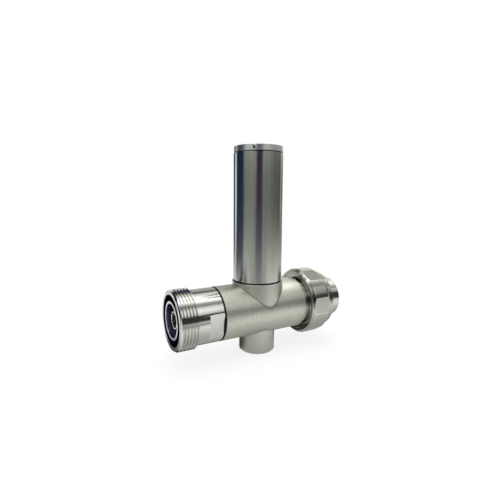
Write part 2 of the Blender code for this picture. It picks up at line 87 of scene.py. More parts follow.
# %% Lengths and stations that several pieces share
SEAT = 0.0003
EASE = 0.0003
PITCH = 0.0015
SPIGOT_LENGTH = 0.0059
POCKET_DEPTH = 0.0062
BEAD_WIDTH = 0.0040
STUD_LENGTH = 0.0058
JACK_END = -0.0242
PLUG_END = 0.0225
JACK_SHOULDER = JACK_END - SEAT
PLUG_SHOULDER = PLUG_END + SEAT
JACK_STEP = JACK_SHOULDER - 0.0129
JACK_FACE = JACK_STEP - 0.0089
print("the jack is", round(1000 * (JACK_SHOULDER - JACK_FACE), 2), "mm long outside the body")

# %% [markdown]
# ## A lathe, a file and a milling cutter
#
# The shop has three tools. The lathe spins an outline round an axis. The file eases sharp edges
# with a small bevel, which is what makes machined metal catch the light along its edges. The
# cutter takes one solid from another with an exact Boolean. Most pieces are turned, filed and cut
# in this order, because a bevel is cleanest on simple rings, before anything is cut through them.

# %% The lathe
def lathe(outline, axis, steps=96, ring=True):
    """Spin (radius, station) points round an axis. A ring closes on itself, a solid ends on the axis."""
    shape = bmesh.new()
    side = STUB if axis == LINE else LINE
    points = [shape.verts.new(TEE + axis * station + side * radius) for radius, station in outline]
    following = points[1:] + points[:1] if ring else points[1:]
    edges = [shape.edges.new(pair) for pair in zip(points, following)]
    bmesh.ops.spin(shape, geom=points + edges, cent=TEE, axis=axis, dvec=(0, 0, 0),
                   angle=2 * math.pi, space=Matrix.Identity(4), steps=steps, use_merge=True,
                   use_normal_flip=False, use_duplicate=False)
    bmesh.ops.remove_doubles(shape, verts=shape.verts, dist=0.000001)
    bmesh.ops.recalc_face_normals(shape, faces=shape.faces)
    return shape


# %% The file
def file_edges(shape, width, segments=3, sharper=25.0, chosen=None):
    """Round the edges sharper than some degrees, or the chosen ones of them, and return the new faces."""
    edges = []
    for edge in shape.edges:
        if len(edge.link_faces) == 2 and edge.calc_face_angle() > math.radians(sharper):
            if chosen is None or chosen(edge):
                edges.append(edge)
    rounded = bmesh.ops.bevel(shape, geom=edges, offset=width, offset_type="OFFSET",
                              affect="EDGES", segments=segments, profile=0.5, material=-1,
                              clamp_overlap=True, loop_slide=True)
    return rounded["faces"]


# %% The cutter
def as_object(shape, name):
    """Make an object in the scene from a mesh under work."""
    mesh = bpy.data.meshes.new(name)
    shape.to_mesh(mesh)
    shape.free()
    item = bpy.data.objects.new(name, mesh)
    bpy.context.scene.collection.objects.link(item)
    return item


def cut(shape, tool, operation="DIFFERENCE"):
    """Take the tool from the work, or join the two, or keep what they share, and return the new work."""
    work = as_object(shape, "work")
    cutter = as_object(tool, "cutter")
    step = work.modifiers.new("cut", "BOOLEAN")
    step.operation = operation
    step.solver = "EXACT"
    step.object = cutter
    graph = bpy.context.evaluated_depsgraph_get()
    graph.update()
    result = bmesh.new()
    result.from_mesh(work.evaluated_get(graph).to_mesh())
    for item in (work, cutter):
        mesh = item.data
        bpy.data.objects.remove(item, do_unlink=True)
        bpy.data.meshes.remove(mesh)
    return result


# %% Milled blocks, and how far a cutter stands out of the work
OVERRUN = 0.001


def by_degrees(angle, about="X"):
    """A turn about the main line, X, or about the stub, Z."""
    return Matrix.Rotation(math.radians(angle), 4, about)


def block(size, centre, turn):
    """A box for milling, whose centre is given before a turn about the tee's centre."""
    shape = bmesh.new()
    bmesh.ops.create_cube(shape, size=1.0)
    bmesh.ops.scale(shape, vec=size, verts=shape.verts)
    bmesh.ops.translate(shape, vec=centre, verts=shape.verts)
    bmesh.ops.transform(shape, matrix=Matrix.Translation(TEE) @ turn, verts=shape.verts)
    return shape


# %% Picking faces for another finish, with two margins for it
NEAR = 0.0001
HAIR = 0.00001


def repaint(shape, index, chosen):
    """Give the finish of an index to the faces whose centre, counted from the tee's, is chosen."""
    picked = [face for face in shape.faces if chosen(face.calc_center_median() - TEE)]
    for face in picked:
        face.material_index = index
    print("finish", index, "goes on", len(picked), "faces")


# %% [markdown]
# ## The threading tool
#
# A thread isn't a pile of rings: it is one groove that winds along the shaft. On a lathe a pointed
# tool moves one pitch for each turn of the work. Here the tool's own outline is spun with a step
# along the axis, which sweeps the helical chip it would remove, and the cutter takes that chip
# away. A metric thread has 60 degree flanks, and its crests keep a flat of an eighth of the pitch.

# %% The helical chip
def chip(axis, pitch, crest, depth, start, turns, inside=False, steps=72):
    """The winding chip between two crests, as a closed solid, starting at a station."""
    shape = bmesh.new()
    side = STUB if axis == LINE else LINE
    over = 0.00008
    slope = math.tan(math.radians(30.0))
    half_gap = pitch * 7 / 8 / 2
    wide = half_gap + over * slope
    narrow = half_gap - depth * slope
    outward = -1.0 if inside else 1.0
    corners = [(crest + outward * over, -wide), (crest + outward * over, wide),
               (crest - outward * depth, narrow), (crest - outward * depth, -narrow)]
    points = [shape.verts.new(TEE + axis * (start + along) + side * radius)
              for radius, along in corners]
    face = shape.faces.new(points)
    bmesh.ops.spin(shape, geom=points + list(shape.edges) + [face], cent=TEE, axis=axis,
                   dvec=axis * pitch / steps, angle=2 * math.pi * turns,
                   space=Matrix.Identity(4), steps=steps * turns, use_merge=False,
                   use_normal_flip=False, use_duplicate=False)
    bmesh.ops.recalc_face_normals(shape, faces=shape.faces)
    loose = [edge for edge in shape.edges if len(edge.link_faces) != 2]
    print("chip of", turns, "turns,", len(shape.faces), "faces,", len(loose), "open edges")
    return shape


# %% [markdown]
# ## Writing materials
#
# A metal's colour says little: what the eye reads is how its finish breaks up reflections. So each
# finish below is mostly roughness and bump, from patterns on Object coordinates, which stay put
# when the camera moves. One small class lets the patterns be written as sums, and one method adds
# every other kind of node.

# %% Sums on sockets
class Value:
    """A socket of a shader tree that adds a Math node for each sum."""

    def __init__(self, owner, socket):
        self.owner = owner
        self.socket = socket

    def _sum(self, operation, first, second):
        return self.owner.add("ShaderNodeMath", {"operation": operation}, {0: first, 1: second})

    def __add__(self, other):
        return self._sum("ADD", self, other)

    def __radd__(self, other):
        return self._sum("ADD", other, self)

    def __sub__(self, other):
        return self._sum("SUBTRACT", self, other)

    def __rsub__(self, other):
        return self._sum("SUBTRACT", other, self)

    def __mul__(self, other):
        return self._sum("MULTIPLY", self, other)

    def __rmul__(self, other):
        return self._sum("MULTIPLY", other, self)


# %% A shader tree under work
class Tree:
    """The nodes of a material or of the world."""

    def __init__(self, tree):
        self.tree = tree

    def feed(self, socket, value):
        """Link a value to a socket, or set the socket to a plain number, colour or vector."""
        if isinstance(value, Value):
            self.tree.links.new(value.socket, socket)
        else:
            socket.default_value = value

    def add(self, kind, settings=None, inputs=None, output=0):
        """Add a node: its settings first, then the values or links of its sockets."""
        node = self.tree.nodes.new(kind)
        for name, setting in (settings or {}).items():
            setattr(node, name, setting)
        for key, value in (inputs or {}).items():
            self.feed(node.inputs[key], value)
        return Value(self, node.outputs[output])

    def looked_at(self):
        """One for the rays of the camera, mirrors and glass, and nought for those that only light."""
        looks = 0.0
        for kind in ("Is Camera Ray", "Is Glossy Ray", "Is Transmission Ray"):
            ray = self.add("ShaderNodeLightPath", None, None, kind)
            looks = self.add("ShaderNodeMath", {"operation": "MAXIMUM"}, {0: looks, 1: ray})
        return looks


# %% A finish under work
class Finish(Tree):
    """A material with its Principled shader."""

    def __init__(self, name):
        self.material = bpy.data.materials.new(name)
        self.material.use_nodes = True
        super().__init__(self.material.node_tree)
        self.shader = self.tree.nodes["Principled BSDF"]

    def shade(self, inputs):
        """Feed the shader's own sockets by name."""
        for name, value in inputs.items():
            self.feed(self.shader.inputs[name], value)

    def metal(self, colour, roughness):
        self.shade({"Base Color": colour, "Roughness": roughness, "Metallic": 1.0})

    def smeared(self, strength):
        """Stretch the reflections along the stub, across its turning lines."""
        self.shade({"Anisotropic": strength, "Anisotropic Rotation": 0.25})

    def relief(self, height, distance, strength):
        """Feed a height pattern to the shader's normal."""
        bump = self.add("ShaderNodeBump", None,
                        {"Height": height, "Distance": distance, "Strength": strength})
        self.shade({"Normal": bump})


# %% Patterns and metals that several finishes share
def spots(finish, size, detail=3.0, stretch=(1.0, 1.0, 1.0)):
    """Noise from 0 to 1 whose features are about this size, stretched along chosen axes."""
    place = finish.add("ShaderNodeTexCoord", None, None, "Object")
    scale = tuple(1.0 / (size * along) for along in stretch)
    moved = finish.add("ShaderNodeMapping", {"vector_type": "POINT"}, {"Vector": place, "Scale": scale})
    return finish.add("ShaderNodeTexNoise", {"noise_dimensions": "3D"},
                      {"Vector": moved, "Scale": 1.0, "Detail": detail, "Roughness": 0.6}, "Fac")


def blend_colour(finish, mask, first, second):
    """Go from one colour to another with a mask. Each is three numbers, or a value of its own."""
    first, second = (colour if isinstance(colour, Value) else (*colour, 1.0)
                     for colour in (first, second))
    return finish.add("ShaderNodeMix", {"data_type": "RGBA", "blend_type": "MIX"},
                      {0: mask, 6: first, 7: second}, 2)


def worn_metal(name, dark, light, roughness, spread, size, detail=3.0, stretch=(1.0, 1.0, 1.0)):
    """A metal whose colour and roughness both follow one pattern, kept as its wear."""
    finish = Finish(name)
    finish.wear = spots(finish, size, detail, stretch)
    finish.metal(blend_colour(finish, finish.wear, dark, light), roughness + spread * finish.wear)
    return finish


# %% [markdown]
# ## Blasted nickel for the body
#
# The body is bead-blasted and plated, so it is matte with a fine grain: noise of half a millimetre
# as bump, and a cloudier noise in the colour. The creases where the neck and the boss meet the
# tube are painted darker as shade. A crease is where a spot lies on both rounds at once, so the
# finish finds it from the distances to both axes, with no change of shape.

# %% The creases of the body
def from_axis(finish, place, across):
    """How far a spot lies from an axis through the tee's centre."""
    flat = finish.add("ShaderNodeVectorMath", {"operation": "MULTIPLY"}, {0: place, 1: across})
    return finish.add("ShaderNodeVectorMath", {"operation": "DISTANCE"},
                      {0: flat, 1: TEE * across}, "Value")


def crease(finish, radius, side, width=0.00040):
    """Where the body's round meets an upright round of a radius, on one side of the main line."""
    place = finish.add("ShaderNodeTexCoord", None, None, "Object")
    apart = 0.0
    for across, size in ((Vector((0.0, 1.0, 1.0)), BODY), (Vector((1.0, 1.0, 0.0)), radius)):
        off = finish.add("ShaderNodeMath", {"operation": "ABSOLUTE"},
                         {0: from_axis(finish, place, across) - size})
        apart = finish.add("ShaderNodeMath", {"operation": "MAXIMUM"}, {0: apart, 1: off})
    near = finish.add("ShaderNodeMapRange", {"interpolation_type": "SMOOTHSTEP"},
                      {"Value": apart, "From Max": width, "To Min": 1.0, "To Max": 0.0})
    height = finish.add("ShaderNodeSeparateXYZ", None, {0: place}, 2)
    return near * finish.add("ShaderNodeMath", {"operation": side}, {0: height, 1: TEE.z})


# %% Blasted nickel
blasted = Finish("nickel_blasted")
grain = spots(blasted, 0.00045)
patches = spots(blasted, 0.0009)
skin = blend_colour(blasted, patches, (0.430, 0.442, 0.365), (0.800, 0.806, 0.705))
# Painted shade: the colour darkens halfway to near-black along the creases of the neck and the boss.
no_neck_crease = 1.0 - crease(blasted, NECK, "GREATER_THAN")
no_boss_crease = 1.0 - crease(blasted, BOSS, "LESS_THAN")
creases = 1.0 - no_neck_crease * no_boss_crease
crease_shaded_skin = blend_colour(blasted, 0.52 * creases, skin, (0.10, 0.105, 0.10))
blasted.metal(crease_shaded_skin, 0.32 + 0.10 * patches)
blasted.relief(grain, 0.00012, 0.9)
print(blasted.material.name, "has", len(blasted.tree.nodes), "nodes")

# %% [markdown]
# ## Polished nickel for the jack and the plug
#
# The jack is nearly a mirror, broken only by faint turning marks and by smears from hands. Its
# bore and the deep groove, which no polishing wheel reaches, are duller, and they are painted a
# dark bluish colour as shade with a bluish reflection in it.

# %% Polished nickel, and duller nickel painted with bluish shade for the bore and the groove
polished = worn_metal("nickel_polished", (0.61, 0.605, 0.565), (0.66, 0.655, 0.615),
                      roughness=0.09, spread=0.06, size=0.004)
polished.relief(spots(polished, 0.00012, 2.0, (1.0, 60.0, 60.0)), 0.000026, 0.9)
# Painted shade and bluish reflection: the bore's dark colour.
bore_shade = worn_metal("nickel_bore_painted_shade", (0.30, 0.29, 0.50), (0.46, 0.45, 0.70),
                   roughness=0.25, spread=0.08, size=0.0003, detail=2.0, stretch=(1.0, 20.0, 20.0))
# Painted shade: the deep groove's darker bluish colour.
groove_shade = worn_metal("nickel_groove_painted_shade", (0.12, 0.11, 0.24), (0.20, 0.19, 0.34),
                       roughness=0.28, spread=0.10, size=0.0004, detail=2.0)

# %% [markdown]
# ## Painted seam shade, turned steel and satin nickel
#
# Seams, slots and steps are painted near-black as shade. The stub's tube was left as it came off the
# lathe: its fine turning lines smear every reflection along the tube, which is why its shader is
# anisotropic, and streaks along the tube vary its colour. The cap is faced and a little rougher.
# The nut is satin, with edges that handling has polished, and those edges are painted lighter as a
# highlight.

# %% Painted shade for the seams
gap_shade = worn_metal("painted_gap_shade", (0.020, 0.020, 0.035), (0.050, 0.050, 0.070),
                   roughness=0.45, spread=0.15, size=0.0006)

# %% Turned steel for the stub, and faced steel for its cap
turned = Finish("steel_turned")
lines = spots(turned, 0.00010, stretch=(90.0, 90.0, 1.0))
streaks = spots(turned, 0.0011, 4.0, (1.0, 1.0, 300.0))
turned.metal(blend_colour(turned, streaks, (0.45, 0.47, 0.41), (0.77, 0.805, 0.71)), 0.20 + 0.02 * lines)
turned.relief(lines, 0.000006, 0.5)
turned.smeared(0.88)

faced = worn_metal("steel_faced", (0.52, 0.54, 0.50), (0.80, 0.83, 0.78),
                   roughness=0.36, spread=0.06, size=0.0010, stretch=(1.0, 1.0, 40.0))
faced.smeared(0.8)

# %% Satin nickel for the nut, and its polished edges, painted lighter as highlights
satin = worn_metal("nickel_satin", (0.400, 0.430, 0.350), (0.520, 0.540, 0.470),
                   roughness=0.15, spread=0.08, size=0.0010)
satin.relief(spots(satin, 0.00020, 2.0), 0.000016, 0.7)
rubbed_edge_highlight = worn_metal("polished_edge_with_highlight", (0.66, 0.655, 0.62), (0.74, 0.735, 0.70),
                         roughness=0.12, spread=0.10, size=0.001, detail=2.0)

# %% [markdown]
# ## The finishes of the inner pieces
#
# The contacts are plated with silver, the whitest of metals, which tarnishes in clouds. The split
# ring is oiled spring steel. The seals are black rubber, the gasket is red silicone and the beads
# are white PTFE. Such materials have a soft skin, so one fine noise serves as colour and as bump.

# %% Silver plate and spring steel
silver = worn_metal("silver_plating", (0.80, 0.78, 0.72), (0.90, 0.88, 0.84),
                    roughness=0.14, spread=0.10, size=0.0012)
silver.relief(spots(silver, 0.00015, 2.0, (1.0, 30.0, 30.0)), 0.000004, 0.4)
spring = worn_metal("steel_spring", (0.22, 0.22, 0.23), (0.34, 0.34, 0.35),
                    roughness=0.30, spread=0.12, size=0.0008)
spring.relief(spring.wear, 0.00001, 0.4)


# %% Rubber, silicone and PTFE
def moulded(name, dark, light, roughness, size):
    """A plain moulded or machined plastic or rubber, with a fine skin."""
    finish = Finish(name)
    texture = spots(finish, size)
    finish.shade({"Base Color": blend_colour(finish, texture, dark, light),
                  "Roughness": roughness + 0.10 * texture})
    finish.relief(texture, 0.00001, 0.5)
    return finish


rubber = moulded("rubber_black", (0.012, 0.012, 0.012), (0.028, 0.028, 0.028), 0.50, 0.0004)
silicone = moulded("silicone_red", (0.45, 0.085, 0.045), (0.58, 0.13, 0.075), 0.42, 0.0006)
ptfe = moulded("ptfe_white", (0.80, 0.80, 0.78), (0.88, 0.88, 0.86), 0.38, 0.0008)
print("finishes:", ", ".join(material.name for material in bpy.data.materials if material.users == 0))

# %% [markdown]
# ## Handing a piece over
#
# A finished mesh becomes an object that rides on a body of the CAD model and stands for one of its
# solids. Faces that meet at a wide angle are shaded as one round surface, the others stay sharp,
# and weighted normals keep the flat faces flat beside their small bevels.

# %% Hand a piece over
def hand_over(shape, name, finishes, node, body="root", sharp=38.0):
    """Give a shape its finishes and let it stand for a CAD node on the body that carries it."""
    piece = as_object(shape, name)
    mesh = piece.data
    for finish in finishes:
        mesh.materials.append(finish.material)
    mesh.shade_smooth()
    mesh.set_sharp_from_angle(angle=math.radians(sharp))
    normals = piece.modifiers.new("even shading", "WEIGHTED_NORMAL")
    normals.keep_sharp = True
    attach(piece, body)
    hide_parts(node)
    triangles = sum(len(face.vertices) - 2 for face in mesh.polygons)
    used = [face.material_index for face in mesh.polygons]
    shares = [used.count(index) for index in range(len(finishes))]
    print(name, "stands for", node, "with", triangles, "triangles, faces in each finish:", shares)


# %% [markdown]
# ## The tee body
#
# The real body is one piece of brass. Three convex solids are joined: the tube, the neck and the
# earthing boss. Its bores are cut from both ends and from above, and the boss is tapped for an M8
# earthing screw. A round of 96 faces turns by less than 4 degrees at each edge, so with a limit of
# 7 degrees the rounds are shaded smooth, and even the shallow ends of the creases stay crisp.
#
# A seam between two pieces reads as a fine dark line. So the body is turned down a little at its
# jack end and round the top of its neck, and those small steps are painted near-black as shade. The
# jack's shell, the tube and the cap have such steps too.

# %% The body's outside
plug_chamfer = 0.0005
seam = 0.00035
seam_taper = 0.00005
neck_top = 0.01468
step_radius = 0.01245
step_floor = 0.01450
step_rim = 0.01285
rim_station = 0.01448
neck_shoulder = 0.01438
foot = -0.0223
foot_chamfer = 0.0008
tube = [(0.0, PLUG_END), (BODY - plug_chamfer, PLUG_END), (BODY, PLUG_END - plug_chamfer),
        (BODY, JACK_END + seam), (BODY - seam, JACK_END + seam - seam_taper),
        (BODY - seam - seam_taper, JACK_END), (0.0, JACK_END)]
neck = [(0.0, neck_top), (step_radius, neck_top), (step_radius, step_floor), (step_rim, rim_station),
        (NECK, neck_shoulder), (NECK, 0.0), (0.0, 0.0)]
boss = [(0.0, -OVERRUN), (BOSS, -OVERRUN), (BOSS, foot + foot_chamfer), (BOSS - foot_chamfer, foot),
        (0.0, foot)]

body = cut(lathe(tube, LINE, ring=False), lathe(neck, STUB, ring=False), "UNION")
body = cut(body, lathe(boss, STUB, ring=False), "UNION")
print("the body's outside has", len(body.faces), "faces")

# %% The body's bores and its tapped earthing hole
port = 0.0075
port_floor = neck_top - POCKET_DEPTH
earth_pitch = 0.00125
tapped = 0.0034
drill_tip = -0.0128
drill_shoulder = -0.014843
countersink = 0.0004
bore = [(0.0, PLUG_END + OVERRUN), (POCKET, PLUG_END + OVERRUN), (POCKET, PLUG_END - POCKET_DEPTH),
        (LINE_BORE, PLUG_END - POCKET_DEPTH), (LINE_BORE, JACK_END + POCKET_DEPTH),
        (POCKET, JACK_END + POCKET_DEPTH), (POCKET, JACK_END - OVERRUN), (0.0, JACK_END - OVERRUN)]
stub_port = [(0.0, neck_top + OVERRUN), (POCKET, neck_top + OVERRUN), (POCKET, port_floor),
             (port, port_floor), (port, 0.0), (0.0, 0.0)]
drill = [(0.0, drill_tip), (tapped, drill_shoulder), (tapped, foot + countersink),
         (tapped + 2 * countersink, foot - countersink), (0.0, foot - countersink)]
for tool in (lathe(bore, LINE, ring=False), lathe(stub_port, STUB, ring=False),
             lathe(drill, STUB, 48, ring=False)):
    body = cut(body, tool)
body = cut(body, chip(STUB, earth_pitch, tapped, depth=0.0006, start=-0.0244, turns=6,
                      inside=True, steps=48))
# Painted shade: the small steps at the jack end and round the neck top get the near-black colour.
repaint(body, 1, lambda spot: spot.x < JACK_END + seam - HAIR or (
    spot.z > step_floor - HAIR and spot.xy.length < step_rim - HAIR))
hand_over(body, "machined_body", [blasted, gap_shade], "body_tee", sharp=7.0)

# %% [markdown]
# ## The jack
#
# The jack's shell is turned from bar. Its mouth holds a thin contact ring, which a trepanning tool
# leaves standing in a deep groove. Behind the thread there is a plain barrel with two flats for a
# wrench.

# %% The jack's shell, turned
barrel = 0.0132
barrel_seam = 0.0002
groove = 0.01217
groove_floor = JACK_FACE + 0.0088
contact_ring = 0.0092
ring_front = JACK_FACE + 0.00015
front_chamfer = 0.0007
back_chamfer = 0.00035
spigot_end = JACK_SHOULDER + SPIGOT_LENGTH
bead_floor = spigot_end - BEAD_WIDTH
shell = lathe([
    (SPIGOT - EASE, spigot_end), (SPIGOT, spigot_end - EASE),
    (SPIGOT, JACK_SHOULDER + SEAL_WIDTH), (SEAL_FLOOR, JACK_SHOULDER + SEAL_WIDTH),
    (SEAL_FLOOR, JACK_SHOULDER), (barrel - EASE, JACK_SHOULDER),
    (barrel - EASE, JACK_SHOULDER - barrel_seam), (barrel, JACK_SHOULDER - barrel_seam),
    (barrel, JACK_STEP), (THREAD - back_chamfer, JACK_STEP), (THREAD, JACK_STEP - back_chamfer),
    (THREAD, JACK_FACE + front_chamfer), (THREAD - front_chamfer, JACK_FACE), (groove, JACK_FACE),
    (groove, groove_floor), (contact_ring, groove_floor), (contact_ring, ring_front),
    (LINE_BORE, ring_front), (LINE_BORE, bead_floor), (BEAD, bead_floor), (BEAD, spigot_end),
], LINE, 128)
file_edges(shell, 0.00012, 2)

# %% The jack's thread and wrench flats
flat_length = 0.0085
flat_radius = 0.01175
flat_block = 0.0145
flat_width = 0.03
shell = cut(shell, chip(LINE, PITCH, THREAD, depth=0.00085, start=JACK_FACE - 0.0018, turns=8))
for side in (100.0, 280.0):
    middle = (JACK_SHOULDER + OVERRUN - flat_length / 2, 0.0, flat_radius + flat_block / 2)
    shell = cut(shell, block((flat_length, flat_width, flat_block), middle, by_degrees(side)))
# Painted shade: the faces behind the barrel's seam, inside the body, get the near-black colour.
repaint(shell, 1, lambda spot: spot.x > JACK_SHOULDER - barrel_seam - HAIR)
# Painted shade: the bore gets the dark bluish colour, and the groove round the contact ring a darker one.
repaint(shell, 2, lambda spot: spot.yz.length < LINE_BORE + NEAR)
repaint(shell, 3, lambda spot: ring_front + 4 * NEAR < spot.x < groove_floor + NEAR
        and contact_ring - NEAR < spot.yz.length < groove + NEAR)
hand_over(shell, "polished_jack", [polished, gap_shade, bore_shade, groove_shade], "jack_shell")

# %% [markdown]
# ## The jack's socket
#
# The pin of a plug springs open this slotted socket. It is turned first and slit last, and the
# slits cross on the axis, so two thin blocks make all four.

# %% The socket
tip = JACK_FACE + 0.0015
fingers = 0.0042
fingers_end = tip + 0.0110
neck_end = tip + 0.0120
hole_floor = tip + 0.0095
slit_length = 0.0090
slit_width = 0.0006
slit_block = 0.0104
stud_end = spigot_end + SEAT + STUD_LENGTH
socket = lathe([
    (0.0, stud_end), (STUD, stud_end), (STUD, bead_floor), (CORE, bead_floor),
    (CORE, neck_end), (fingers, fingers_end), (fingers, tip), (CORE, tip),
    (CORE, hole_floor), (0.0, hole_floor),
], LINE, 64, ring=False)
file_edges(socket, 0.0002)
for side in (45.0, 135.0):
    middle = (tip - OVERRUN + slit_length / 2, 0.0, 0.0)
    socket = cut(socket, block((slit_length, slit_width, slit_block), middle, by_degrees(side)))
hand_over(socket, "slotted_socket", [silver], "jack_socket")

# %% [markdown]
# ## The plug
#
# The other end is the mating half of such a jack: a sleeve that enters the groove, with a centre
# pin inside it. Behind the sleeve there is a long plain land, on which the nut slides and turns. A
# split ring in the land stops the nut in front, and a red gasket keeps the weather out.

# %% The plug's shell
land = 0.0124
land_groove = 0.0114
land_end = PLUG_SHOULDER + 0.0144
sleeve = 0.0111
sleeve_bore = 0.0094
sleeve_end = land_end + 0.0100
bore_floor = sleeve_end - 0.0083
ring_station = land_end - 0.0022
ring_back = ring_station - 0.0003
ring_end = ring_station + 0.0013
plug_spigot_end = PLUG_SHOULDER - SPIGOT_LENGTH
plug_bead_floor = plug_spigot_end + BEAD_WIDTH
plug = lathe([
    (sleeve, sleeve_end), (sleeve, land_end), (land, land_end), (land, ring_end),
    (land_groove, ring_end), (land_groove, ring_back), (land, ring_back), (land, PLUG_SHOULDER),
    (SEAL_FLOOR, PLUG_SHOULDER), (SEAL_FLOOR, PLUG_SHOULDER - SEAL_WIDTH),
    (SPIGOT, PLUG_SHOULDER - SEAL_WIDTH), (SPIGOT, plug_spigot_end), (BEAD, plug_spigot_end),
    (BEAD, plug_bead_floor), (LINE_BORE, plug_bead_floor), (LINE_BORE, bore_floor),
    (sleeve_bore, bore_floor), (sleeve_bore, sleeve_end),
], LINE, 128)
file_edges(plug, 0.00018)
hand_over(plug, "plug_sleeve", [polished], "plug_shell")

# %% The plug's pin, with a round nose
pin_end = sleeve_end - 0.0007
pin_stud_end = plug_spigot_end - SEAT - STUD_LENGTH
pin = lathe([
    (0.0, pin_end), (CORE, pin_end), (CORE, plug_bead_floor), (STUD, plug_bead_floor),
    (STUD, pin_stud_end), (0.0, pin_stud_end),
], LINE, 64, ring=False)
file_edges(pin, 0.0011, 5, chosen=lambda edge: edge.verts[0].co.x > TEE.x + pin_end - NEAR)
hand_over(pin, "centre_pin", [silver], "plug_pin")

# %% The gasket
gasket_back = land_end + SEAT
gasket_front = gasket_back + 0.0018
gasket_radius = 0.01318
gasket = lathe([
    (gasket_radius, gasket_front), (gasket_radius, gasket_back), (land_groove, gasket_back),
    (land_groove, gasket_front),
], LINE, 96)
file_edges(gasket, 0.0004)
hand_over(gasket, "sealing_gasket", [silicone], "face_gasket")

# %% [markdown]
# ## The coupling nut
#
# A nut is a turned blank with a hexagon milled on it. Keeping only what the blank and the hexagon
# share gives the curved shoulders that every chamfered nut has. Its thread is cut next. The file
# comes last and rounds only the outside, and those new faces get the polished finish, because that
# is where wrenches and hands rub; their lighter colour is also a painted highlight.

# %% The nut's blank
nut_back = PLUG_END + 0.0015
nut_stop = nut_back + 0.0040
nut_front = nut_back + 0.0153
relief_end = nut_front - 0.0064
hex_end = nut_front - 0.0037
rim = 0.0153
corner = 0.01768
front_cone = 0.0163
front_chamfer_end = hex_end - 0.0020
back_cone = 0.0164
back_chamfer_end = nut_back + 0.0017
recess = 0.0149
recess_floor = nut_back + 0.0005
land_hole = 0.0127
thread_relief = 0.0147
nut_bore = THREAD - 1.0825 * PITCH / 2
thread_depth = THREAD - nut_bore
blank = lathe([
    (rim - EASE, nut_front), (rim, nut_front - EASE), (rim, hex_end), (front_cone, hex_end),
    (corner, front_chamfer_end), (corner, back_chamfer_end), (back_cone, nut_back),
    (recess, nut_back), (recess, recess_floor), (land_hole + EASE, recess_floor),
    (land_hole, recess_floor + EASE), (land_hole, nut_stop), (thread_relief, nut_stop),
    (thread_relief, relief_end), (nut_bore, relief_end + thread_relief - nut_bore),
    (nut_bore, nut_front - thread_depth), (THREAD, nut_front),
], LINE, 144)
print("the nut's blank has", len(blank.faces), "faces")

# %% The nut's hexagon, thread and edges
flat_angle = 27.0
flat = 0.01715
to_corner = flat / math.cos(math.pi / 6)
hexagon = bmesh.new()
bmesh.ops.create_cone(hexagon, cap_ends=True, segments=6, radius1=to_corner, radius2=to_corner,
                      depth=2 * (nut_front - nut_back))
bmesh.ops.transform(hexagon, matrix=Matrix.Rotation(math.pi / 2, 4, "Y"), verts=hexagon.verts)
nut_place = Matrix.Translation(TEE + LINE * (nut_back + nut_front) / 2)
bmesh.ops.transform(hexagon, matrix=nut_place @ by_degrees(flat_angle), verts=hexagon.verts)
nut = cut(blank, hexagon, "INTERSECT")
nut = cut(nut, chip(LINE, PITCH, nut_bore, thread_depth, start=relief_end + 0.0004, turns=5,
                    inside=True))


def outside(edge):
    """Whether an edge of the nut lies wholly on its outside."""
    return min((vertex.co - TEE).yz.length for vertex in edge.verts) > rim - EASE


# The filed edges get a lighter colour than the satin: real wear and a painted highlight.
for face in file_edges(nut, 0.00034, sharper=12.0, chosen=outside):
    face.material_index = 1
hand_over(nut, "coupling_nut_milled", [satin, rubbed_edge_highlight], "coupling_nut", "nut")

# %% [markdown]
# ## The stub and its cap
#
# The tube is a long plain turning with a thick wall. The cap that closes it is screwed in with a
# wide blade, so it has one slot right across. A shallow undercut below its rim, painted near-black
# as shade like the slot, gives the thin dark line that shows where the cap ends.

# %% The tube
tube_radius = 0.01233
tube_bore = 0.0092
tube_foot = 0.01498
tube_top = 0.0779
foot_seam = 0.00018
foot_radius = 0.01205
tube_spigot_end = tube_foot - SPIGOT_LENGTH
tube = lathe([
    (tube_radius, tube_top), (tube_radius, tube_foot + foot_seam),
    (foot_radius, tube_foot + foot_seam), (foot_radius, tube_foot), (SEAL_FLOOR, tube_foot),
    (SEAL_FLOOR, tube_foot - SEAL_WIDTH), (SPIGOT, tube_foot - SEAL_WIDTH),
    (SPIGOT, tube_spigot_end), (LINE_BORE, tube_spigot_end),
    (LINE_BORE, tube_foot + 0.0005), (tube_bore, tube_foot + 0.0017), (tube_bore, tube_top),
], STUB, 128)
file_edges(tube, 0.00010, 2)
# Painted shade: the small step at the tube's foot gets the near-black colour.
repaint(tube, 1, lambda spot: tube_foot - NEAR < spot.z < tube_foot + foot_seam + HAIR)
hand_over(tube, "stub_turning", [turned, gap_shade], "stub_tube")

# %% The cap, turned
cap_seat = tube_top + SEAT
cap_foot = cap_seat - 0.0067
cap_flange = tube_top + 0.00055
cap_top = cap_flange + 0.00275
cap_rim = 0.0121
undercut = 0.0116
cap_spigot = 0.0089
seal_groove = 0.0077
groove_top = cap_seat - 0.0012
groove_foot = groove_top - SEAL_WIDTH
rod_hole = 0.0023
rod_hole_end = cap_foot + STUD_LENGTH
cap = lathe([
    (0.0, cap_top), (cap_rim, cap_top), (cap_rim, cap_flange), (undercut, cap_flange),
    (undercut, cap_seat), (cap_spigot, cap_seat), (cap_spigot, groove_top),
    (seal_groove, groove_top), (seal_groove, groove_foot), (cap_spigot, groove_foot),
    (cap_spigot, cap_foot), (rod_hole, cap_foot), (rod_hole, rod_hole_end), (0.0, rod_hole_end),
], STUB, 128, ring=False)
file_edges(cap, 0.0002)

# %% The cap's slot
slot_turn = by_degrees(-41.0, "Z")
slot_width = 0.0010
slot_depth = 0.0021
slot_block = 0.0030
slot_length = 0.030
cap = cut(cap, block((slot_width, slot_length, slot_block),
                     (0.0, 0.0, cap_top - slot_depth + slot_block / 2), slot_turn))
across = slot_turn @ LINE
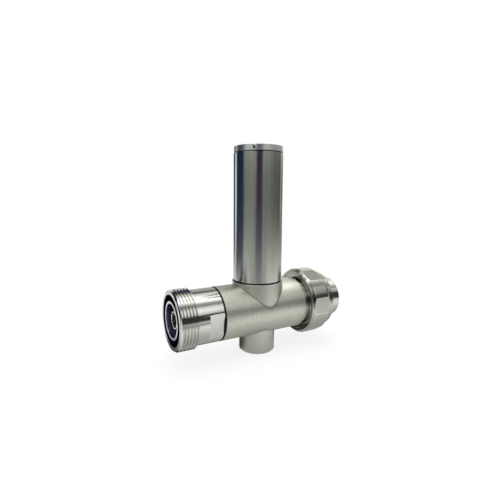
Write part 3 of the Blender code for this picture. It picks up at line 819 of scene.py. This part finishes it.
# Painted shade: the slot's walls and floor and the undercut get the near-black colour.
repaint(cap, 1, lambda spot: (
    spot.z > cap_top - slot_depth - HAIR and abs(spot.dot(across)) < slot_width / 2 + HAIR) or (
    cap_seat - NEAR < spot.z < cap_flange + NEAR / 2 and spot.xy.length < cap_rim - NEAR))
hand_over(cap, "slotted_cap", [faced, gap_shade], "stub_cap")

# %% [markdown]
# ## The pieces inside
#
# The conductor, the rod, the beads, the seals and the snap ring are hidden, or show only through
# the mouths and gaps. Their CAD solids are right as they are, so they only get a finish.

# %% Finishes for the CAD pieces that stay
INSIDE = {"inner_conductor": silver, "stub_rod": silver, "jack_bead": ptfe, "plug_bead": ptfe,
          "jack_seal": rubber, "plug_seal": rubber, "stub_seal": rubber, "cap_seal": rubber,
          "nut_snap_ring": spring}
for node, finish in INSIDE.items():
    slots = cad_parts[node].data.materials
    for index in range(len(slots)):
        slots[index] = finish.material
    print(node, "is finished in", finish.material.name)

# %% [markdown]
# ## The camera
#
# The camera stands where the photographer's did: close, a little above the line, and to the left.
# It is aimed by its compass direction, its tilt and a slight roll. Its shift stands for the way
# the photograph was cropped.

# %% The camera's directions
heading, tilt, roll = 0.506, -0.131, 0.005
forward = Vector((math.sin(heading) * math.cos(tilt), math.cos(heading) * math.cos(tilt),
                  math.sin(tilt)))
level = Vector((math.cos(heading), -math.sin(heading), 0.0))
rise = level.cross(forward)
right = math.cos(roll) * level + math.sin(roll) * rise
up = -math.sin(roll) * level + math.cos(roll) * rise
print("the camera looks along", [round(value, 3) for value in forward])

# %% The camera
FOCAL_LENGTH_IN_PIXELS = 351.468
PICTURE_IN_PIXELS = 500.0
SENSOR_IN_MM = 36.0
lens = bpy.data.cameras.new("view")
lens.lens = FOCAL_LENGTH_IN_PIXELS * SENSOR_IN_MM / PICTURE_IN_PIXELS
lens.sensor_width = SENSOR_IN_MM
lens.shift_x = 0.0137
lens.shift_y = -0.0095
lens.clip_start = 0.005
camera = bpy.data.objects.new("view", lens)
pose = Matrix((right, up, -forward)).transposed().to_4x4()
pose.translation = Vector((-0.093268, -0.152327, 0.078151))
camera.matrix_world = pose
bpy.context.scene.collection.objects.link(camera)
bpy.context.scene.camera = camera
print("camera at", [round(value, 4) for value in camera.location])

# %% [markdown]
# ## The room and the table
#
# Polished metal has no looks of its own, it shows the room. The room here is white, with a white
# table. Both look brighter to the camera and in reflections than they shine on the object, which
# keeps the ground white round a soft shadow.

# %% The room
ROOM_LIGHT = 0.85
scene = bpy.context.scene
scene.view_settings.view_transform = "Standard"
world = bpy.data.worlds.new("room")
scene.world = world
world.use_nodes = True
world.cycles.sampling_method = "NONE"
room = Tree(world.node_tree)
strength = room.add("ShaderNodeMapRange", None,
                    {"Value": room.looked_at(), "To Min": ROOM_LIGHT, "To Max": 1.0})
background = room.tree.nodes["Background"]
room.feed(background.inputs["Color"], (1.0, 1.0, 1.0, 1.0))
room.feed(background.inputs["Strength"], strength)
print("the room has", len(room.tree.nodes), "nodes")

# %% The table
PAPER = 0.26
PAPER_GLOW = 0.785
table_shape = bmesh.new()
bmesh.ops.create_grid(table_shape, x_segments=1, y_segments=1, size=3.0)
table = as_object(table_shape, "table")
paper = Finish("white_paper")
paper.shade({"Base Color": (PAPER, PAPER, PAPER, 1.0), "Roughness": 1.0, "Specular IOR Level": 0.0,
             "Emission Color": (1.0, 1.0, 1.0, 1.0),
             "Emission Strength": PAPER_GLOW * paper.looked_at()})
paper.material.cycles.emission_sampling = "NONE"
table.data.materials.append(paper.material)
print("the table is", round(table.dimensions.x, 1), "m wide")

# %% [markdown]
# ## Cards for the reflections
#
# Cards stand round the object: some dark, for the unlit parts of a real studio, and bright ones
# overhead and beside the line. Only reflections see the cards, so they draw the bands on the metal
# without shading the table. Each card fades out at its rims, as far corners of a room do.


# %% What a card is made of
def card_finish(name, shade, feather):
    """A glow that fades out over a share of the card's length and height."""
    finish = Finish(name)
    finish.tree.nodes.remove(finish.shader)
    spread = finish.add("ShaderNodeUVMap", {"uv_map": "UVMap"})
    mask = 1.0
    for axis in range(2):
        place = finish.add("ShaderNodeSeparateXYZ", None, {0: spread}, axis)
        nearest = finish.add("ShaderNodeMath", {"operation": "MINIMUM"}, {0: place, 1: 1.0 - place})
        soft = finish.add("ShaderNodeMapRange", {"interpolation_type": "SMOOTHSTEP"},
                          {"Value": nearest, "From Max": feather[axis]})
        mask = soft * mask
    clear = finish.add("ShaderNodeBsdfTransparent")
    glow = finish.add("ShaderNodeEmission", None, {"Color": (*shade, 1.0)})
    mixed = finish.add("ShaderNodeMixShader", None, {0: mask, 1: clear, 2: glow})
    finish.feed(finish.tree.nodes["Material Output"].inputs["Surface"], mixed)
    finish.material.cycles.emission_sampling = "NONE"
    return finish


# %% A card that only reflections see
def card(name, shade, placed, feather):
    """Bend a small grid into a card. placed gives the point for u and v from 0 to 1."""
    shape = bmesh.new()
    shape.loops.layers.uv.new("UVMap")
    bmesh.ops.create_grid(shape, x_segments=32, y_segments=12, size=0.5, calc_uvs=True)
    for vertex in shape.verts:
        vertex.co = placed(vertex.co.x + 0.5, vertex.co.y + 0.5)
    item = as_object(shape, name)
    item.data.materials.append(card_finish(name, shade, feather).material)
    item.visible_camera = False
    item.visible_diffuse = False
    item.visible_shadow = False
    item.visible_transmission = False


def grey(shade):
    return (shade, shade, shade)


DEEP_BLUE = (0.02, 0.03, 0.09)

# %% [markdown]
# ## Where the cards go
#
# A horizontal round shows the room's heights and a vertical one its directions. So the long
# softbox and the windows beside the line draw bands on the body and the jack, while the narrow
# cards of the camera's stand and the doorway draw the two dark strips on the tube. They go on
# over the table, because the lower half of the tube mirrors the table.

# %% Cards that are bent round the object
MIDDLE = Vector((0.0, 0.0, 0.045))
HANGING_REACH = 0.60


def standing(round_from, round_to, low, high, reach):
    """A card that stands round the object: degrees from +X towards +Y, and degrees above level."""
    def placed(u, v):
        turn = math.radians(round_from + (round_to - round_from) * u)
        lift = math.radians(low + (high - low) * v)
        return MIDDLE + reach * Vector((math.cos(turn) * math.cos(lift),
                                        math.sin(turn) * math.cos(lift), math.sin(lift)))
    return placed


def hanging(lean_from, lean_to, left, right):
    """A long card beside or above the line: degrees from straight up towards +Y."""
    def placed(u, v):
        lean = math.radians(lean_from + (lean_to - lean_from) * v)
        return MIDDLE + Vector((left + (right - left) * u, HANGING_REACH * math.sin(lean),
                                HANGING_REACH * math.cos(lean)))
    return placed


card("dark_far_room", grey(0.05), standing(8.0, -200.0, -12.0, 22.0, 0.50), (0.03, 0.15))
card("camera_stand", (0.03, 0.01, 0.06), standing(-131.0, -100.0, -14.0, 74.0, 0.40), (0.10, 0.06))
card("doorway", (0.01, 0.02, 0.06), standing(119.0, 170.0, -14.0, 70.0, 0.40), (0.10, 0.1))
card("dark_rear_top", grey(0.15), hanging(29.0, 62.0, -0.7, 0.45), (0.10, 0.30))
card("grey_front_top", grey(0.35), hanging(-18.0, -40.0, -0.7, 1.1), (0.05, 0.30))
card("low_window", grey(1.45), hanging(-43.0, -62.0, -0.7, 0.40), (0.14, 0.25))
card("low_wall", grey(0.58), hanging(-40.0, -66.0, 0.22, 1.10), (0.14, 0.20))
card("softbox", grey(3.0), hanging(19.0, -15.0, -0.7, 0.60), (0.10, 0.25))
card("left_room", grey(0.15), standing(-134.0, -187.0, -16.0, 11.0, 0.49), (0.12, 0.35))
card("far_right", (0.10, 0.12, 0.17), standing(4.0, 38.0, -14.0, 17.0, 0.48), (0.25, 0.2))


# %% Flat cards behind the object, and one over the nut
def upright(left, right, back, low, high):
    """A flat card that stands across the view, between two X and two heights."""
    def placed(u, v):
        return Vector((left + (right - left) * u, back, low + (high - low) * v))
    return placed


def lying(left, right, front, back, height):
    """A flat card that lies level, between two X and two Y."""
    def placed(u, v):
        return Vector((left + (right - left) * u, front + (back - front) * v, height))
    return placed


card("behind_barrel", grey(0.50), upright(0.004, 0.060, 0.12, 0.02, 0.15), (0.1, 0.2))
card("behind_thread", DEEP_BLUE, upright(-0.045, 0.008, 0.12, 0.02, 0.17), (0.1, 0.2))
card("thread_flag", DEEP_BLUE, upright(-0.135, -0.080, 0.107, 0.03, 0.09), (0.2, 0.2))
card("behind_nut", grey(0.35), upright(-0.15, -0.03, 0.25, 0.12, 0.30), (0.2, 0.2))
card("nut_flag", grey(0.60), lying(0.043, 0.073, -0.012, 0.020, 0.0705), (0.15, 0.15))


# %% Cards on the table, in layers a fraction of a millimetre apart
def spreading(round_from, round_to, near, far, height=0.0008):
    """A card flat on the table: degrees from +X towards +Y, and distances from the object."""
    def placed(u, v):
        turn = math.radians(round_from + (round_to - round_from) * u)
        reach = near + (far - near) * v
        return Vector((math.cos(turn) * reach, math.sin(turn) * reach, height))
    return placed


card("own_shadow", grey(0.46), lying(-0.080, 0.100, -0.052, 0.070, 0.0001), (0.25, 0.40))
# Painted shadow: a dark sheet under and behind the object, seen only in reflections.
card("painted_shadow_under", grey(0.05), lying(-0.066, 0.060, -0.002, 0.044, 0.0002), (0.12, 0.16))
card("camera_on_table", (0.05, 0.02, 0.09), spreading(-132.0, -99.0, 0.16, 0.66), (0.12, 0.24))
card("neck_shade", grey(0.25), spreading(-165.0, -72.0, 0.055, 0.185, 0.0006), (0.2, 0.35))
card("doorway_on_table", DEEP_BLUE, spreading(118.0, 172.0, 0.14, 0.64), (0.12, 0.12))
# Painted shade: the table darkens away from the object as its light falls off, seen only in reflections.
card("painted_table_falloff", grey(0.36), spreading(-180.0, 180.0, 0.04, 0.76, 0.0004), (0.0001, 0.5))

# %% [markdown]
# ## The lamp
#
# One soft lamp overhead gives the table its faint shadow. The metal doesn't see it, because the
# cards already stand for the lamps in its reflections.

# %% Lamp
lamp_data = bpy.data.lights.new("overhead", "AREA")
lamp_data.shape = "DISK"
lamp_data.size = 0.5
lamp_data.energy = 1.0
lamp = bpy.data.objects.new("overhead", lamp_data)
lamp.location = (0.05, -0.05, 0.75)
lamp.visible_glossy = False
scene.collection.objects.link(lamp)
print("lamp at", [round(value, 2) for value in lamp.location])

# %% Update the scene
bpy.context.view_layer.update()
